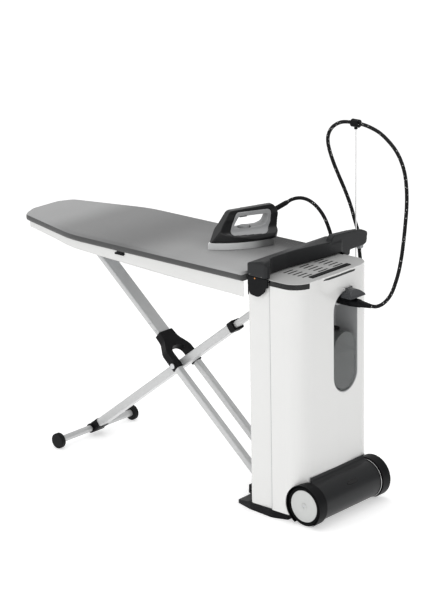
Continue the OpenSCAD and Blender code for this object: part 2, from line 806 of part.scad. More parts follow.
module hose_lower() color("#1a1b1c") swept(lower_route, hose_d);

base_plate();
hinge_bracket();
leg_hinge_pin();
rear_column();
front_shell();
top_grille();
control_strip();
power_key();
axle_cover();
wheel_axle();
tyre_near();
hub_near();
tyre_far();
hub_far();
tank_bay();
water_tank();
tank_cap();
steam_socket();
socket_flap();
boiler();
pump();
solenoid_valve();
circuit_board();
chassis();
steam_pipe();
mains_inlet();
board_tray();
board_mesh();
board_pad();
end_frame();
end_bridge();
bridge_lobes();
lift_posts();
hose_holder();
hose_rod();
rod_clip();
hose_clip();
roller_rails();
release_lever();
leg_a_tubes();
leg_a_fork();
leg_a_upper();
leg_a_roller();
cross_pin();
leg_b_outer();
leg_b_collar();
leg_b_inner();
leg_b_roller();
foot_coupler();
foot_tube();
foot_caps();
iron_sole();
iron_body();
iron_inset();
iron_dial();
iron_trigger();
iron_relief();
steam_plug();
hose_upper();
hose_lower();
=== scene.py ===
"""Looks of the steam ironing station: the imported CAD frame, finer meshes where the real object is soft
or rounded, procedural materials, a pale studio and the camera. Metres; +X from the board's nose to the generator,
-Y the side with the release lever, +Z up."""
import json, math
import bpy, bmesh
from mathutils import Vector, Matrix, noise


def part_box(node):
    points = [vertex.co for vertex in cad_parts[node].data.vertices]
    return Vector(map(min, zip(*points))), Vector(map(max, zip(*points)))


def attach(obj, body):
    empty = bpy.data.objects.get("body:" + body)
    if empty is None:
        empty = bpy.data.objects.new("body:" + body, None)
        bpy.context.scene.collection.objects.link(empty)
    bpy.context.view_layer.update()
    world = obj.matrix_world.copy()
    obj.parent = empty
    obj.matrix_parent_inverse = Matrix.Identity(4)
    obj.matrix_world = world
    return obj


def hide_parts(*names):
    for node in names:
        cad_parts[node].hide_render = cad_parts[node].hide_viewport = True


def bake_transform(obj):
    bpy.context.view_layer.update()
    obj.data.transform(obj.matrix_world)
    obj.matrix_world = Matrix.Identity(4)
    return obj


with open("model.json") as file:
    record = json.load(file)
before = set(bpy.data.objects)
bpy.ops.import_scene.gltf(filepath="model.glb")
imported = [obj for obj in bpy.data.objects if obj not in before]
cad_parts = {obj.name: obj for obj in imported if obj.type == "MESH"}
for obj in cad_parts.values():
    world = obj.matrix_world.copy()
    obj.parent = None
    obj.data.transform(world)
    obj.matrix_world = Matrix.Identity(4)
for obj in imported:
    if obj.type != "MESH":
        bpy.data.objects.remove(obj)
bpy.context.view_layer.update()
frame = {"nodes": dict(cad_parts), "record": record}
NODES = frame["nodes"]
BODY = {n: b for b, ns in frame["record"]["behaviour"]["bodies"].items() for n in ns}
scene = bpy.context.scene

# ---------------------------------------------------------------- camera
AZ, EL, ROLL = (math.radians(a) for a in (42.248, 17.530, -1.1064))
right = Vector((math.cos(AZ), math.sin(AZ), 0))
up = Vector((-math.sin(AZ) * math.sin(EL), math.cos(AZ) * math.sin(EL), math.cos(EL)))
back = right.cross(up)
side = right * math.cos(ROLL) + up * math.sin(ROLL)
top = up * math.cos(ROLL) - right * math.sin(ROLL)
camera = bpy.data.objects.new("camera", bpy.data.cameras.new("camera"))
scene.collection.objects.link(camera)
camera.data.lens = 137.76
camera.data.sensor_width = 36
camera.data.clip_end = 60
camera.matrix_world = Matrix.LocRotScale(
    Vector((4.8517, -5.7261, 3.0806)), Matrix((side, top, back)).transposed(), None)
scene.camera = camera


# ---------------------------------------------------------------- materials
GLOSS_SPREAD = 0.05     # how far roughness strays either way over one surface


def material(name, color, rough, metal=0.0, coat=0.0, spec=0.5, grain=1400.0, depth=0.00006, mottle=0.04,
             stretch=(1, 1, 1), sheen=0.0):
    """A moulded, painted or metal surface: cloudy colour, uneven gloss and a fine grain in the normal."""
    m = bpy.data.materials.new(name)
    m.use_nodes = True
    n, l = m.node_tree.nodes, m.node_tree.links
    b = n["Principled BSDF"]
    b.inputs["Metallic"].default_value = metal
    b.inputs["Coat Weight"].default_value = coat
    b.inputs["Coat Roughness"].default_value = 0.06
    b.inputs["Specular IOR Level"].default_value = spec
    b.inputs["Sheen Weight"].default_value = sheen
    where = n.new("ShaderNodeTexCoord")
    place = n.new("ShaderNodeMapping")
    place.inputs["Scale"].default_value = stretch
    l.new(where.outputs["Object"], place.inputs["Vector"])
    cloud = n.new("ShaderNodeTexNoise")
    cloud.inputs["Scale"].default_value = 9.0
    cloud.inputs["Detail"].default_value = 3.0
    l.new(where.outputs["Object"], cloud.inputs["Vector"])
    fine = n.new("ShaderNodeTexNoise")
    fine.inputs["Scale"].default_value = grain
    fine.inputs["Detail"].default_value = 2.0
    l.new(place.outputs["Vector"], fine.inputs["Vector"])
    mix = n.new("ShaderNodeMix")
    mix.data_type = "RGBA"
    mix.inputs["A"].default_value = (*[c * (1 - mottle) for c in color], 1)
    mix.inputs["B"].default_value = (*[min(1, c * (1 + mottle)) for c in color], 1)
    l.new(cloud.outputs["Fac"], mix.inputs["Factor"])
    l.new(mix.outputs["Result"], b.inputs["Base Color"])
    span = n.new("ShaderNodeMapRange")
    span.inputs["To Min"].default_value = max(0.02, rough - GLOSS_SPREAD)
    span.inputs["To Max"].default_value = min(1, rough + GLOSS_SPREAD)
    l.new(cloud.outputs["Fac"], span.inputs["Value"])
    l.new(span.outputs["Result"], b.inputs["Roughness"])
    bump = n.new("ShaderNodeBump")
    bump.inputs["Distance"].default_value = depth
    l.new(fine.outputs["Fac"], bump.inputs["Height"])
    l.new(bump.outputs["Normal"], b.inputs["Normal"])
    return m


def add_bump(m, build, distance):
    """Adds a second relief to a material. build(nodes, links, object_coordinates) gives its height socket."""
    n, l = m.node_tree.nodes, m.node_tree.links
    b = n["Principled BSDF"]
    first = b.inputs["Normal"].links[0].from_socket
    where = next(x for x in n if x.type == "TEX_COORD")
    bump = n.new("ShaderNodeBump")
    bump.inputs["Distance"].default_value = distance
    l.new(build(n, l, where.outputs["Object"]), bump.inputs["Height"])
    l.new(first, bump.inputs["Normal"])
    l.new(bump.outputs["Normal"], b.inputs["Normal"])
    return m


def weave(pitch):
    """Height of a plain weave with the given thread pitch, in the board's plane."""
    def build(n, l, where):
        out = []
        for axis in ("X", "Y"):
            w = n.new("ShaderNodeTexWave")
            w.bands_direction = axis
            w.inputs["Scale"].default_value = 2 * math.pi / (20 * pitch)
            w.inputs["Distortion"].default_value = 0.3
            l.new(where, w.inputs["Vector"])
            out.append(w.outputs["Fac"])
        top = n.new("ShaderNodeMath")
        top.operation = "MAXIMUM"
        l.new(out[0], top.inputs[0])
        l.new(out[1], top.inputs[1])
        return top.outputs[0]
    return build


WHITE = material("white_moulding", (0.745, 0.745, 0.735), 0.20, coat=0.30, grain=700, depth=0.00003,
                 mottle=0.012)
TRAY = material("tray_moulding", (0.72, 0.72, 0.71), 0.30, coat=0.2, grain=900, depth=0.00004, mottle=0.015)
GRILLE = material("grille_moulding", (0.44, 0.44, 0.435), 0.42, grain=1600, depth=0.00008)
GLOSS = material("black_gloss", (0.003, 0.003, 0.0035), 0.10, coat=0.10, spec=0.3, grain=500, depth=0.00002)
BLACK = material("black_moulding", (0.0046, 0.0049, 0.0056), 0.46, spec=0.11, grain=1500, depth=0.00010,
                 mottle=0.12)
BRIDGE = material("bridge_moulding", (0.0105, 0.0112, 0.0125), 0.48, spec=0.30, grain=1500, depth=0.00012,
                  mottle=0.1)
AXLE = material("black_cover", (0.009, 0.0098, 0.011), 0.34, spec=0.28, grain=1500, depth=0.00008, mottle=0.1)
RUBBER = material("rubber", (0.0060, 0.0063, 0.0068), 0.62, grain=1100, depth=0.00015, mottle=0.15, spec=0.18)
TYRE = material("tyre_rubber", (0.0026, 0.0028, 0.0031), 0.60, grain=900, depth=0.00016, mottle=0.15,
                spec=0.07)
HUB = material("hub_moulding", (0.56, 0.57, 0.56), 0.34, coat=0.1, grain=1500, depth=0.00005)
BAY = material("smoked_bay", (0.36, 0.365, 0.37), 0.22, coat=0.3, grain=600, depth=0.00003)
TANK = material("clear_tank", (0.20, 0.21, 0.21), 0.10, coat=0.3, grain=300, depth=0.00002)
TANK.node_tree.nodes["Principled BSDF"].inputs["Alpha"].default_value = 0.35
FLAP = material("flap_moulding", (0.028, 0.030, 0.034), 0.24, coat=0.3, spec=0.4, grain=900, depth=0.00004)
ZINC = material("zinc_steel", (0.55, 0.56, 0.57), 0.30, metal=1, grain=800, depth=0.00004, mottle=0.08)
CHROME = material("chrome", (0.70, 0.70, 0.70), 0.14, metal=1, grain=500, depth=0.00002)
FRAME = material("black_paint", (0.012, 0.0125, 0.0135), 0.36, spec=0.3, grain=1200, depth=0.00006)
LEG = material("silver_paint", (0.56, 0.565, 0.565), 0.32, metal=0.25, coat=0.2, grain=1800, depth=0.00004)
COPPER = material("copper", (0.62, 0.33, 0.20), 0.28, metal=1, grain=700, depth=0.00004, mottle=0.12)
BOILER = material("boiler_steel", (0.50, 0.50, 0.49), 0.34, metal=1, grain=500, depth=0.00008,
                  stretch=(1, 1, 0.1))
PUMP = material("pump_moulding", (0.04, 0.042, 0.05), 0.45)
BOARD = material("circuit_laminate", (0.02, 0.10, 0.045), 0.35, coat=0.2, mottle=0.2)
CLIP = material("clip_moulding", (0.26, 0.27, 0.28), 0.4)
SOLE = material("sole_metal", (0.86, 0.87, 0.87), 0.34, metal=0.35, grain=900, depth=0.00006,
                stretch=(1, 1, 9))
IRON = material("iron_black", (0.0062, 0.0065, 0.0072), 0.30, coat=0.12, spec=0.35, grain=1300, depth=0.00005,
                mottle=0.1)
INSET = material("iron_grey", (0.36, 0.365, 0.37), 0.36, grain=1500, depth=0.00008)
DIAL = material("dial_grey", (0.34, 0.345, 0.35), 0.32, grain=1500, depth=0.00006)
COVER = material("cover_cotton", (0.40, 0.401, 0.402), 0.50, spec=0.25, grain=420, depth=0.00012, mottle=0.05,
                 sheen=0.08)
add_bump(COVER, weave(0.0011), 0.00009)


def paint_reflection(m, sole=False):
    """Paints reflection and shade into the colour, standing in for the sheen of the cover's silvered face: lighter
    and darker along the board, and darker beyond the iron towards the far side; on the sole, a painted highlight
    that falls off along it.
    """
    n, l = m.node_tree.nodes, m.node_tree.links
    b = n["Principled BSDF"]
    where = next(x for x in n if x.type == "TEX_COORD")
    split = n.new("ShaderNodeSeparateXYZ")
    l.new(where.outputs["Object"], split.inputs["Vector"])

    def painted_light_ramp(source, low, high, stops):
        span = n.new("ShaderNodeMapRange")
        span.inputs["From Min"].default_value = low
        span.inputs["From Max"].default_value = high
        l.new(source, span.inputs["Value"])
        ramp = n.new("ShaderNodeValToRGB")
        ramp.color_ramp.interpolation = "EASE"
        while len(ramp.color_ramp.elements) < len(stops):
            ramp.color_ramp.elements.new(0.5)
        for e, (at, v) in zip(ramp.color_ramp.elements, stops):
            e.position, e.color = at, (v, v, v, 1)
        l.new(span.outputs["Result"], ramp.inputs["Fac"])
        return ramp.outputs["Color"]

    def product(a, c, factor=None):
        x = n.new("ShaderNodeMix")
        x.data_type, x.blend_type = "RGBA", "MULTIPLY"
        x.inputs["Factor"].default_value = 1
        if factor:
            l.new(factor, x.inputs["Factor"])
        l.new(a, x.inputs["A"])
        l.new(c, x.inputs["B"])
        return x.outputs["Result"]

    # Painted highlight on the sole: bright at one end, falling off towards the other.
    if sole:
        painted_sole_highlight = painted_light_ramp(split.outputs["Y"], -0.07, 0.13,
                     [(0.0, 0.95), (0.28, 1.0), (0.45, 0.9), (0.75, 0.28), (1.0, 0.20)])
        l.new(product(b.inputs["Base Color"].links[0].from_socket, painted_sole_highlight), b.inputs["Base Color"])
        return
    # Painted reflection along the board: lighter at the nose and towards the end, darker in between.
    along = painted_light_ramp(split.outputs["X"], -1.2, 0.0, [(0.0, 1.0), (0.13, 0.95), (0.27, 0.60), (0.50, 0.44),
                                                 (0.68, 0.80),
                                                 (0.92, 1.0)])
    # Painted shade and reflection across the board: darker towards the far side, acting only beyond the iron
    # towards the generator.
    painted_shade_reach = painted_light_ramp(split.outputs["X"], -0.60, -0.25, [(0.0, 0.0), (1.0, 1.0)])
    across = painted_light_ramp(split.outputs["Y"], -0.12, 0.21, [(0.0, 1.0), (0.48, 0.52), (0.82, 0.09), (1.0, 0.02)])
    base = b.inputs["Base Color"].links[0].from_socket
    l.new(product(product(base, along), across, painted_shade_reach), b.inputs["Base Color"])


# Painted reflection and shade on the cover; painted highlight on the sole.
paint_reflection(COVER)
paint_reflection(SOLE, sole=True)
HEM = material("cover_band", (0.050, 0.0505, 0.051), 0.66, grain=600, depth=0.0002, mottle=0.12, sheen=0.2)
add_bump(HEM, weave(0.0014), 0.00012)
LAMP = material("amber_lens", (0.85, 0.28, 0.02), 0.2, coat=0.5)
LIGHT = material("light_print", (0.30, 0.30, 0.29), 0.4)
WATER = material("water", (0.008, 0.009, 0.0085), 0.06, grain=40, depth=0.0001)


def braid():
    """Black braided sleeve with sparse white flecks, laid out along the hose by its UV: u round, v along."""
    m = material("hose_braid", (0.006, 0.006, 0.0066), 0.5, grain=900, depth=0.0001, mottle=0.2, spec=0.15)
    n, l = m.node_tree.nodes, m.node_tree.links
    b = n["Principled BSDF"]
    where = next(x for x in n if x.type == "TEX_COORD")
    place = n.new("ShaderNodeMapping")
    place.inputs["Rotation"].default_value = (0, 0, 0.5)
    place.inputs["Scale"].default_value = (7.0, 150.0, 1)
    l.new(where.outputs["UV"], place.inputs["Vector"])
    cells = n.new("ShaderNodeTexVoronoi")
    cells.voronoi_dimensions = "2D"
    cells.inputs["Scale"].default_value = 1.0
    cells.inputs["Randomness"].default_value = 0.7
    l.new(place.outputs["Vector"], cells.inputs["Vector"])
    spot = n.new("ShaderNodeMath")
    spot.operation = "LESS_THAN"
    spot.inputs[1].default_value = 0.24
    l.new(cells.outputs["Distance"], spot.inputs[0])
    pick = n.new("ShaderNodeSeparateColor")
    l.new(cells.outputs["Color"], pick.inputs["Color"])
    some = n.new("ShaderNodeMath")
    some.operation = "GREATER_THAN"
    some.inputs[1].default_value = 0.84
    l.new(pick.outputs["Red"], some.inputs[0])
    both = n.new("ShaderNodeMath")
    both.operation = "MULTIPLY"
    l.new(spot.outputs[0], both.inputs[0])
    l.new(some.outputs[0], both.inputs[1])
    mix = n.new("ShaderNodeMix")
    mix.data_type = "RGBA"
    mix.inputs["B"].default_value = (0.55, 0.55, 0.54, 1)
    l.new(b.inputs["Base Color"].links[0].from_socket, mix.inputs["A"])
    l.new(both.outputs[0], mix.inputs["Factor"])
    l.new(mix.outputs["Result"], b.inputs["Base Color"])
    wrap = []
    for turn in (1, -1):
        t = n.new("ShaderNodeMapping")
        t.inputs["Scale"].default_value = (turn * 10.0, 420.0, 1)
        l.new(where.outputs["UV"], t.inputs["Vector"])
        w = n.new("ShaderNodeTexWave")
        w.bands_direction = "DIAGONAL"
        w.inputs["Scale"].default_value = 0.55
        l.new(t.outputs["Vector"], w.inputs["Vector"])
        wrap.append(w.outputs["Fac"])
    high = n.new("ShaderNodeMath")
    high.operation = "MAXIMUM"
    l.new(wrap[0], high.inputs[0])
    l.new(wrap[1], high.inputs[1])
    return add_bump(m, lambda *_: high.outputs[0], 0.0003)


BRAID = braid()


# ---------------------------------------------------------------- mesh helpers
def rounded(corners, n=6):
    """A closed outline from corners (x, y, r), each rounded to its own radius r."""
    out = []
    for i, (x, y, r) in enumerate(corners):
        b = Vector((x, y))
        if r <= 0:
            out.append(b)
            continue
        u = (Vector(corners[i - 1][:2]) - b).normalized()
        v = (Vector(corners[(i + 1) % len(corners)][:2]) - b).normalized()
        half = math.acos(max(-1, min(1, u.dot(v)))) / 2
        reach, mid = r / math.tan(half), b + (u + v).normalized() * r / math.sin(half)
        s, e, turn = b + u * reach - mid, b + v * reach - mid, math.pi - 2 * half
        out += [mid + (s * math.sin(turn * (1 - k / n)) + e * math.sin(turn * k / n)) / math.sin(turn)
                for k in range(n + 1)]
    return out


def mirrored(c):
    return c + [(x, -y, r) for x, y, r in reversed(c)]


def put(name, bm, mats, body, replaces=(), smooth=True):
    me = bpy.data.meshes.new(name)
    bmesh.ops.recalc_face_normals(bm, faces=bm.faces)
    bm.to_mesh(me)
    bm.free()
    o = bpy.data.objects.new(name, me)
    scene.collection.objects.link(o)
    for m in mats if isinstance(mats, (list, tuple)) else [mats]:
        me.materials.append(m)
    me.shade_smooth() if smooth else me.shade_flat()
    if body:
        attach(o, body)
    if replaces:
        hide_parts(*replaces)
    return o


def cad_mesh(node, tidy=True):
    """The node's surface as a fresh bmesh, with its flat faces merged."""
    bm = bmesh.new()
    src = NODES[node].data
    verts = [bm.verts.new(v.co) for v in src.vertices]
    for p in src.polygons:
        try:
            bm.faces.new([verts[i] for i in p.vertices])
        except ValueError:
            pass
    bmesh.ops.remove_doubles(bm, verts=bm.verts, dist=2e-5)
    if tidy:
        bmesh.ops.dissolve_limit(bm, angle_limit=math.radians(0.6), verts=bm.verts, edges=bm.edges)
    return bm


def softened(node, mat, width=0.0015, segments=3):
    """Stands for a CAD node, with its sharp edges rounded as a moulding's are."""
    o = put(node + "_skin", cad_mesh(node), mat, BODY[node], [node])
    bevel = o.modifiers.new("edges", "BEVEL")
    bevel.width, bevel.segments, bevel.angle_limit = width, segments, math.radians(33)
    bevel.limit_method = "ANGLE"
    bevel.use_clamp_overlap = True
    bevel.harden_normals = False
    weighted = o.modifiers.new("normals", "WEIGHTED_NORMAL")
    weighted.keep_sharp = True
    return o


def melted(nodes, mat, voxel=0.0016, rounds=8, name=None):
    """Stands for one CAD node, or for several of one body, as one flowing moulded form: remeshed and smoothed."""
    nodes = [nodes] if isinstance(nodes, str) else nodes
    bm = cad_mesh(nodes[0], False)
    for more in nodes[1:]:
        part = bpy.data.meshes.new(more + "_part")
        extra = cad_mesh(more, False)
        extra.to_mesh(part)
        extra.free()
        bm.from_mesh(part)
        bpy.data.meshes.remove(part)
    o = put(name or nodes[0] + "_skin", bm, mat, BODY[nodes[0]], nodes)
    o.modifiers.new("even", "REMESH").voxel_size = voxel
    soft = o.modifiers.new("soft", "SMOOTH")
    soft.factor, soft.iterations = 0.6, rounds
    return o


def lathe(name, profile, origin, axis, mats, body, replaces=(), segments=72, closed=False,
          bands=None,
          wave=None):
    """Turns a profile of (radius, distance along axis) about a line. wave(angle, i) scales a point's radius."""
    bm = bmesh.new()
    turn = Vector((0, 0, 1)).rotation_difference(Vector(axis)).to_matrix()
    rings = []
    for i, (r, h) in enumerate(profile):
        ring = []
        for k in range(segments):
            a = 2 * math.pi * k / segments
            rr = r * (wave(a, i) if wave else 1)
            ring.append(bm.verts.new(Vector(origin) + turn @ Vector((rr * math.cos(a), rr * math.sin(a), h))))
        rings.append(ring)
    pairs = list(zip(rings, rings[1:])) + ([(rings[-1], rings[0])] if closed else [])
    for j, (p, q) in enumerate(pairs):
        for k in range(segments):
            f = bm.faces.new((p[k], p[(k + 1) % segments], q[(k + 1) % segments], q[k]))
            if bands:
                f.material_index = bands[j]
    if not closed:
        bm.faces.new(rings[0])
        bm.faces.new(list(reversed(rings[-1])))
    return put(name, bm, mats, body, replaces)


def smooth_line(points, per=6):
    """Smooth line through the points (centripetal Catmull-Rom)."""
    p = [Vector(q) for q in points]
    p = [p[0] * 2 - p[1]] + p + [p[-1] * 2 - p[-2]]
    out = []
    for i in range(1, len(p) - 2):
        for k in range(per):
            t = k / per
            out.append(0.5 * (2 * p[i] + (p[i + 1] - p[i - 1]) * t
                              + (2 * p[i - 1] - 5 * p[i] + 4 * p[i + 1] - p[i + 2]) * t * t
                              + (3 * p[i] - p[i - 1] - 3 * p[i + 1] + p[i + 2]) * t ** 3))
    return out + [p[-2]]


def tube(name, line, radius, mat, node, sides=16):
    """A round hose along a line, with UVs: u round it, v the metres along it."""
    bm = bmesh.new()
    uv = bm.loops.layers.uv.new("UVMap")
    rings, along, total = [], [], 0.0
    across = None
    for i, c in enumerate(line):
        t = (line[min(i + 1, len(line) - 1)] - line[max(i - 1, 0)]).normalized()
        across = (across or Vector((0.3, 0.2, 0.93)).cross(t)) - t * (across or Vector()).dot(t)
        across.normalize()
        other = t.cross(across)
        total += (c - line[i - 1]).length if i else 0
        along.append(total)
        rings.append([bm.verts.new(c + (across * math.cos(2 * math.pi * k / sides)
                                        + other * math.sin(2 * math.pi * k / sides)) * radius)
                      for k in range(sides)])
    for i in range(len(rings) - 1):
        for k in range(sides):
            j = (k + 1) % sides
            f = bm.faces.new((rings[i][k], rings[i][j], rings[i + 1][j], rings[i + 1][k]))
            for loop, (u, v) in zip(f.loops, ((k, along[i]), (k + 1, along[i]), (k + 1, along[i + 1]),
                                              (k, along[i + 1]))):
                loop[uv].uv = (u / sides, v)
    bm.faces.new(rings[0])
    bm.faces.new(list(reversed(rings[-1])))
    o = put(name, bm, mat, None)
    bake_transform(o)
    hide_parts(node)
    return o, total


# ---------------------------------------------------------------- the steam hose, in two runs
UPPER = [
    (292, 56, 738.6), (307, 57, 740), (321, 61, 745), (334, 68, 755), (344, 78, 770), (350, 90, 789),
    (353, 105, 818), (354, 122, 856), (352, 139, 902), (347, 157, 955), (341, 173, 1006), (332, 191, 1056),
    (318, 209, 1106), (297, 227, 1154), (269, 243, 1192), (235, 257, 1222), (195, 268, 1247),
    (150, 278, 1267),
    (104, 285, 1278), (70, 289, 1282), (38, 290, 1283), (6, 291, 1282), (-25, 293, 1277), (-54, 295, 1264),
    (-77, 296, 1244), (-89, 296, 1219), (-90, 297, 1193), (-83, 297, 1167), (-72, 298, 1138),
    (-59, 299, 1110),
    (-44, 301, 1080), (-29, 304, 1049), (-15, 309, 1014), (-3, 316, 973), (5, 324, 930), (11, 331.5, 896),
    (12.5, 336, 872), (13, 340, 850), (13, 340, 838)]
LOWER = [
    (13, 340, 838), (13, 340, 824), (14.5, 341, 800), (17.5, 342, 774), (21, 343, 744), (25, 343, 706),
    (26, 342, 674),
    (23.5, 335, 645), (16.5, 316.5, 625), (7, 291, 617.5), (-2.5, 265.5, 625), (-9.5, 247, 645),
    (-12, 240, 674), (-13, 238, 710), (-14, 237, 750), (-17, 239, 790), (-24, 244, 822), (-33, 249, 852),
    (-44, 254, 881), (-58, 257, 908), (-75, 259, 935), (-96, 260, 958), (-122, 260, 977), (-148, 258, 988.5),
    (-170, 252, 993), (-186, 241, 992.5), (-197.3, 226.8, 988.7), (-203.2, 212, 982.5)]
mm = lambda pts: [Vector(p) / 1000 for p in pts]

line = smooth_line(mm(UPPER))
hose_up, length_up = tube("hose_upper_braid", line, 0.0065, BRAID, "hose_upper")
line = smooth_line(mm(LOWER))
hose_low, length_low = tube("hose_lower_braid", line, 0.0065, BRAID, "hose_lower")

# ---------------------------------------------------------------- board pad
lo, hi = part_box("board_pad")
END, NOSE, HALF, PAD_Z, TOP = hi.x, lo.x, hi.y, lo.z, hi.z


def board_outline(inset):
    return rounded(mirrored([
        (END, HALF - inset, 0), (-0.860, HALF - inset, 0.420),
        (NOSE + 0.027 + inset, 0.124 - 0.9 * inset, 0.034), (NOSE + inset, 0.062, 0.040)]), 8)


def resample(outline, step=0.022):
    """How many short pieces each side of the outline is cut into, so that the cloth can ripple."""
    counts = []
    for a, b in zip(outline, outline[1:] + outline[:1]):
        counts.append(max(1, round((b - a).length / step)))
    return counts


def cut(outline, counts):
    out = []
    for (a, b), c in zip(zip(outline, outline[1:] + outline[:1]), counts):
        out += [a.lerp(b, k / c) for k in range(c)]
    return out


def board_pad():
    """Felt and cover as one crowned, closed pad: a tucked hem below, a dark side band, a soft rolled edge and a top
    that dips a little between its edges, with the small ripples of a stretched cover."""
    counts = resample(board_outline(0))
    # (inset, height, how much the ripples act): from under the edge, round the side, to the top
    section = [(0.026, 0.0002, 0), (0.010, 0.0, 0), (0.0040, 0.0006, 0.3), (0.0012, 0.0030, 0.8),
               (0.0002, 0.0075, 1), (0.0, 0.0125, 1), (0.0002, 0.0165, 1), (0.0009, 0.0200, 1),
               (0.0013, 0.0212, 0.9), (0.0018, 0.0222, 0.8), (0.0032, 0.0248, 0.8), (0.0056, 0.0272, 0.7),
               (0.0090, 0.0288, 0.6), (0.0140, 0.0297, 0.5), (0.0210, 0.0300, 0.4)]
    bm = bmesh.new()
    rings = []
    for inset, h, soft in section:
        ring = []
        for p in cut(board_outline(inset), counts):
            pull = noise.noise(Vector((p.x * 22, p.y * 22, h * 60))) * 0.0009 * soft
            inward = Vector((0, -math.copysign(1, p.y), 0)) if p.x > -0.9 else Vector((1, 0, 0))
            q = Vector((p.x, p.y, PAD_Z + h)) + (inward * abs(pull) if p.x < END - 0.004 else Vector())
            ring.append(bm.verts.new(q))
        rings.append(ring)
    last = [v.co.copy() for v in rings[-1]]
    for k in (0.88, 0.74, 0.58, 0.42, 0.26, 0.12):
        ring = []
        for q in last:
            spine = Vector((max(NOSE + 0.16, min(END - 0.012, q.x)), 0, q.z))
            c = spine.lerp(q, k)
            dip = 0.0006 * (1 - k) + 0.0005 * noise.noise(Vector((c.x * 7, c.y * 7, 3)))
            edge = min(1, (END - c.x) / 0.03)
            ring.append(bm.verts.new((c.x, c.y, TOP - 0.0001 - max(0, dip) * edge)))
        rings.append(ring)
    n = len(rings[0])
    for j, (a, b) in enumerate(zip(rings, rings[1:])):
        for k in range(n):
            f = bm.faces.new((a[k], a[(k + 1) % n], b[(k + 1) % n], b[k]))
            f.material_index = 1 if j < 8 else 0
    top_strip = rings[-1]
    for k in range(n // 2 - 1):
        f = bm.faces.new((top_strip[k], top_strip[k + 1], top_strip[n - 2 - k], top_strip[n - 1 - k]))
    under = rings[0]
    for k in range(n // 2 - 1):
        f = bm.faces.new((under[n - 1 - k], under[n - 2 - k], under[k + 1], under[k]))
        f.material_index = 1
    o = put("board_cover", bm, [COVER, HEM], "board", ["board_pad"])
    return o


board_pad()

# ---------------------------------------------------------------- generator shells and base
softened("rear_column", WHITE, 0.0024, 4)
softened("front_shell", WHITE, 0.0012, 3)
softened("top_grille", GRILLE, 0.0007, 2)
softened("control_strip", GLOSS, 0.0005, 2)
softened("power_key", GLOSS, 0.0009, 3)
softened("base_plate", BLACK, 0.0035, 4)
softened("axle_cover", AXLE, 0.0010, 3)
softened("tank_bay", BAY, 0.0008, 2)

softened("water_tank", TANK, 0.0022, 4)
softened("tank_cap", BLACK, 0.0018, 3)
melted("socket_flap", FLAP, 0.0011, 8)
softened("mains_inlet", BLACK, 0.0012, 3)
melted(["end_bridge", "hose_holder"], BRIDGE, 0.0020, 12)
softened("bridge_lobes", BLACK, 0.0026, 4)
softened("rod_clip", BLACK, 0.0030, 4)
softened("hose_clip", CLIP, 0.0009, 3)
softened("release_lever", BLACK, 0.0012, 3)
softened("leg_a_fork", BLACK, 0.0022, 3)
softened("leg_b_collar", BLACK, 0.0018, 3)
softened("foot_coupler", BLACK, 0.0018, 3)
softened("foot_caps", RUBBER, 0.0036, 4)
softened("end_frame", FRAME, 0.0005, 2)
softened("hinge_bracket", FRAME, 0.0010, 2)
softened("board_tray", TRAY, 0.0006, 2)
softened("steam_socket", BAY, 0.0012, 3)
softened("iron_trigger", GLOSS, 0.0022, 4)

# ---------------------------------------------------------------- wheels
WX, WZ = 0.195, 0.0726     # the axle; the tyres reach down to the floor
for s, where in ((-1, "near"), (1, "far")):
    a = 0.150 * s
    tyre = [(0.0572, 0.0372), (0.0600, 0.0379), (0.0652, 0.0372), (0.0692, 0.0350), (0.0716, 0.0318),
            (0.0724, 0.0280), (0.0726, 0.0262), (0.0717, 0.0256), (0.0717, 0.0246), (0.0726, 0.0240),
            (0.0726, 0.0140), (0.0717, 0.0134), (0.0717, 0.0124), (0.0726, 0.0118), (0.0725, 0.0060),
            (0.0716, 0.0026), (0.0694, 0.0008), (0.0650, 0.0001), (0.0590, 0.0002), (0.0572, 0.0008)]
    rim = [(0.0050, 0.0012), (0.0130, 0.0012), (0.0130, 0.0255), (0.0505, 0.0262), (0.0530, 0.0245),
           (0.0568, 0.0245), (0.0568, 0.0350), (0.0561, 0.0364), (0.0548, 0.0370), (0.0535, 0.0368),
           (0.0520, 0.0356), (0.0300, 0.0344), (0.0125, 0.0342), (0.0108, 0.0346), (0.0098, 0.0370),
           (0.0086, 0.0378), (0.0052, 0.0378)]
    lathe("tyre_" + where + "_tread", tyre, (WX, a, WZ), (0, s, 0), TYRE, "wheel_" + where, ["tyre_" + where],
          segments=96, closed=True)
    lathe("hub_" + where + "_disc", rim, (WX, a, WZ), (0, s, 0), HUB, "wheel_" + where, ["hub_" + where],
          segments=96, closed=True)
# bright ring between the axle cover and the far tyre
ring = [(0.0684, -0.0034), (0.0702, -0.0034), (0.0706, -0.0028), (0.0706, -0.0018), (0.0702, -0.0012),
        (0.0684, -0.0012)]
lathe("cover_ring", ring, (WX, 0.150, WZ), (0, 1, 0), CHROME, "housing", segments=96,
      closed=True)

